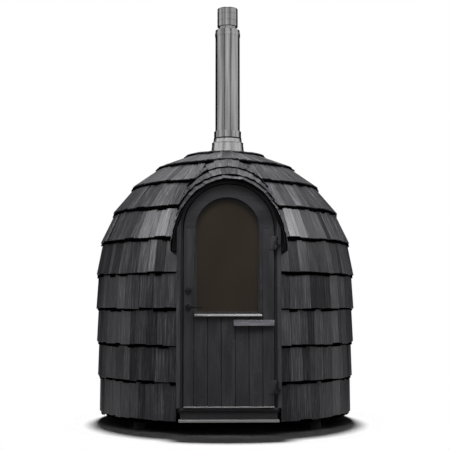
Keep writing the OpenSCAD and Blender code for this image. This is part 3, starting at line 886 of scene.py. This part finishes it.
# %% Pale floor
def stage_floor():
    bpy.ops.mesh.primitive_plane_add(size=12, location=(0, 0, 0))
    floor = bpy.context.object
    floor.name = "studio_floor"
    material, tree, shader = new_material("studio floor")
    place = tree.nodes.new("ShaderNodeTexCoord").outputs["Object"]
    oval = tree.nodes.new("ShaderNodeMapping")
    oval.inputs["Location"].default_value = (0, 0.15, 0)
    oval.inputs["Scale"].default_value = (0.75, 0.69, 1)
    tree.links.new(place, oval.inputs["Vector"])
    length = tree.nodes.new("ShaderNodeVectorMath")
    length.operation = "LENGTH"
    tree.links.new(oval.outputs["Vector"], length.inputs[0])
    fade = tree.nodes.new("ShaderNodeMapRange")
    fade.inputs["From Min"].default_value = 0.97
    fade.inputs["From Max"].default_value = 1.1
    fade.interpolation_type = "SMOOTHSTEP"
    tree.links.new(length.outputs["Value"], fade.inputs["Value"])
    clear = tree.nodes.new("ShaderNodeBsdfTransparent")
    blend = tree.nodes.new("ShaderNodeMixShader")
    tree.links.new(fade.outputs["Result"], blend.inputs["Fac"])
    tree.links.new(shader.outputs[0], blend.inputs[1])
    tree.links.new(clear.outputs[0], blend.inputs[2])
    tree.links.new(blend.outputs[0], tree.nodes["Material Output"].inputs["Surface"])
    speck = add(tree, "ShaderNodeTexNoise", Scale=30.0, Detail=2.0)
    tree.links.new(place, speck.inputs["Vector"])
    colour = ramp(tree, speck.outputs["Fac"], [(0.3, grey(0.9)), (0.7, grey(0.92))])
    tree.links.new(colour, shader.inputs["Base Color"])
    shader.inputs["Roughness"].default_value = 0.9
    shader.inputs["Specular IOR Level"].default_value = 0.0
    floor.data.materials.append(material)
    print("floor", tuple(floor.dimensions))


stage_floor()

# %% [markdown]
# ## Light
# A soft sun from overhead lights everything and casts the short shadow. Five lamps in front light
# the dark wood: a large one above, two softboxes, and one on either side that only adds a sheen
# to the upper shingles. They are linked to everything but the chimney and the floor. The chimney
# is so much brighter than the stain that it would burn out, and the shadow on the floor would
# fade. Black wood needs this kind of light, because it shows its shape by gloss more than by
# colour.

# %% Lamps
def area_light(name, place, aim, size, power):
    data = bpy.data.lights.new(name, "AREA")
    data.shape = "RECTANGLE"
    data.size, data.size_y = size
    data.energy = power
    lamp = bpy.data.objects.new(name, data)
    bpy.context.collection.objects.link(lamp)
    lamp.location = place
    lamp.rotation_euler = (Vector(aim) - Vector(place)).to_track_quat("-Z", "Y").to_euler()
    return lamp


sun_data = bpy.data.lights.new("overhead", "SUN")
sun_data.energy = 3.5
sun_data.angle = math.radians(7)
sun = bpy.data.objects.new("overhead", sun_data)
bpy.context.collection.objects.link(sun)
# It leans a little from behind, so that the shadow lies in front of the skids
sun.rotation_euler = (math.radians(-15), 0, 0)
front_lights = [
    area_light("front top", (0, -3.6, 7.4), (0, 0, 1.5), (4.4, 2.4), 700),
    area_light("left softbox", (-3.6, -4.2, 5.0), (0, 0, 1.6), (1.4, 1.8), 80),
    area_light("right softbox", (3.6, -4.2, 5.0), (0, 0, 1.6), (1.4, 1.8), 80),
    area_light("left sheen", (-5.2, -2.2, 5.4), (-0.8, -0.9, 1.8), (1.8, 1.8), 330),
    area_light("right sheen", (5.2, -2.2, 5.4), (0.8, -0.9, 1.8), (1.8, 1.8), 520),
]
lit = bpy.data.collections.new("lit from the front")
for piece in bpy.context.scene.objects:
    if piece.type == "MESH" and not piece.name.startswith(("studio_floor", "chimney_")):
        lit.objects.link(piece)
for lamp in front_lights:
    lamp.light_linking.receiver_collection = lit
    # The two sheen lamps only glance off the stain beside the hood
    lamp.visible_diffuse = "sheen" not in lamp.name

# %% [markdown]
# Bright metal shows what stands around it, and in an all-white room it would look flat and pale.
# Black cards out of view give it the dark edges and streaks that make it look round. Three large
# ones stand behind, and two narrow ones stand in front. Only reflections see them.

# %% Black cards
card_finish = board_material("black card", "Z", 0.004, 0.35, 0.5)
card_height = 7.0
# Place x, y and z, width, and turn in degrees
cards = [
    (0, 6.0, 2.6, 13.0, 0),
    (-4.5, 4.2, 2.6, 4.6, 90),
    (4.5, 4.2, 2.6, 4.6, 90),
    (-2.7, -4.6, 4.0, 1.5, 30),
    (2.3, -5.0, 4.0, 0.7, -25),
]
for x, y, z, wide, turn in cards:
    upright = (math.radians(90), 0, math.radians(turn))
    bpy.ops.mesh.primitive_plane_add(size=1, location=(x, y, z), rotation=upright)
    card = bpy.context.object
    card.name = "black_card"
    card.scale = (wide, card_height, 1)
    card.data.materials.append(card_finish)
    card.visible_camera = False
    card.visible_diffuse = False
    card.visible_shadow = False
    card.visible_transmission = False
print(len(cards), "cards")

# %% [markdown]
# The backdrop is the world itself. It looks white to the camera, to reflections and through glass,
# but gives almost no light, so the shadow under the cabin stays deep. A Light Path node tells
# these rays apart.

# %% World
backdrop_level = 1.0
fill_level = 0.012

world = bpy.data.worlds.new("studio")
bpy.context.scene.world = world
world.use_nodes = True
tree = world.node_tree
tree.nodes.clear()
rays = tree.nodes.new("ShaderNodeLightPath")
either = rays.outputs["Is Camera Ray"]
for kind in ("Is Glossy Ray", "Is Transmission Ray"):
    larger = tree.nodes.new("ShaderNodeMath")
    larger.operation = "MAXIMUM"
    tree.links.new(either, larger.inputs[0])
    tree.links.new(rays.outputs[kind], larger.inputs[1])
    either = larger.outputs[0]
seen = add(tree, "ShaderNodeBackground", Color=(1, 1, 1, 1), Strength=backdrop_level)
felt = add(tree, "ShaderNodeBackground", Color=(1, 1, 1, 1), Strength=fill_level)
choose = tree.nodes.new("ShaderNodeMixShader")
output = tree.nodes.new("ShaderNodeOutputWorld")
tree.links.new(either, choose.inputs["Fac"])
tree.links.new(felt.outputs[0], choose.inputs[1])
tree.links.new(seen.outputs[0], choose.inputs[2])
tree.links.new(choose.outputs[0], output.inputs["Surface"])
print("world seen at", backdrop_level, "and felt at", fill_level)

# %% [markdown]
# ## Camera
# It stands nine metres in front at about elbow height, a little to the left, and looks slightly
# upward. A long lens keeps the dome's sides from spreading, as they would seen from close by.

# %% Camera
camera_data = bpy.data.cameras.new("camera")
camera_data.lens = 77.84
camera_data.sensor_width = 36
camera = bpy.data.objects.new("camera", camera_data)
bpy.context.collection.objects.link(camera)
camera.location = (-0.26, -9.2, 1.04)
camera.rotation_euler = (math.radians(94.79), 0, math.radians(-1.62))
bpy.context.scene.camera = camera
bpy.context.scene.view_settings.view_transform = "Standard"
print("camera at", tuple(round(v, 2) for v in camera.location))
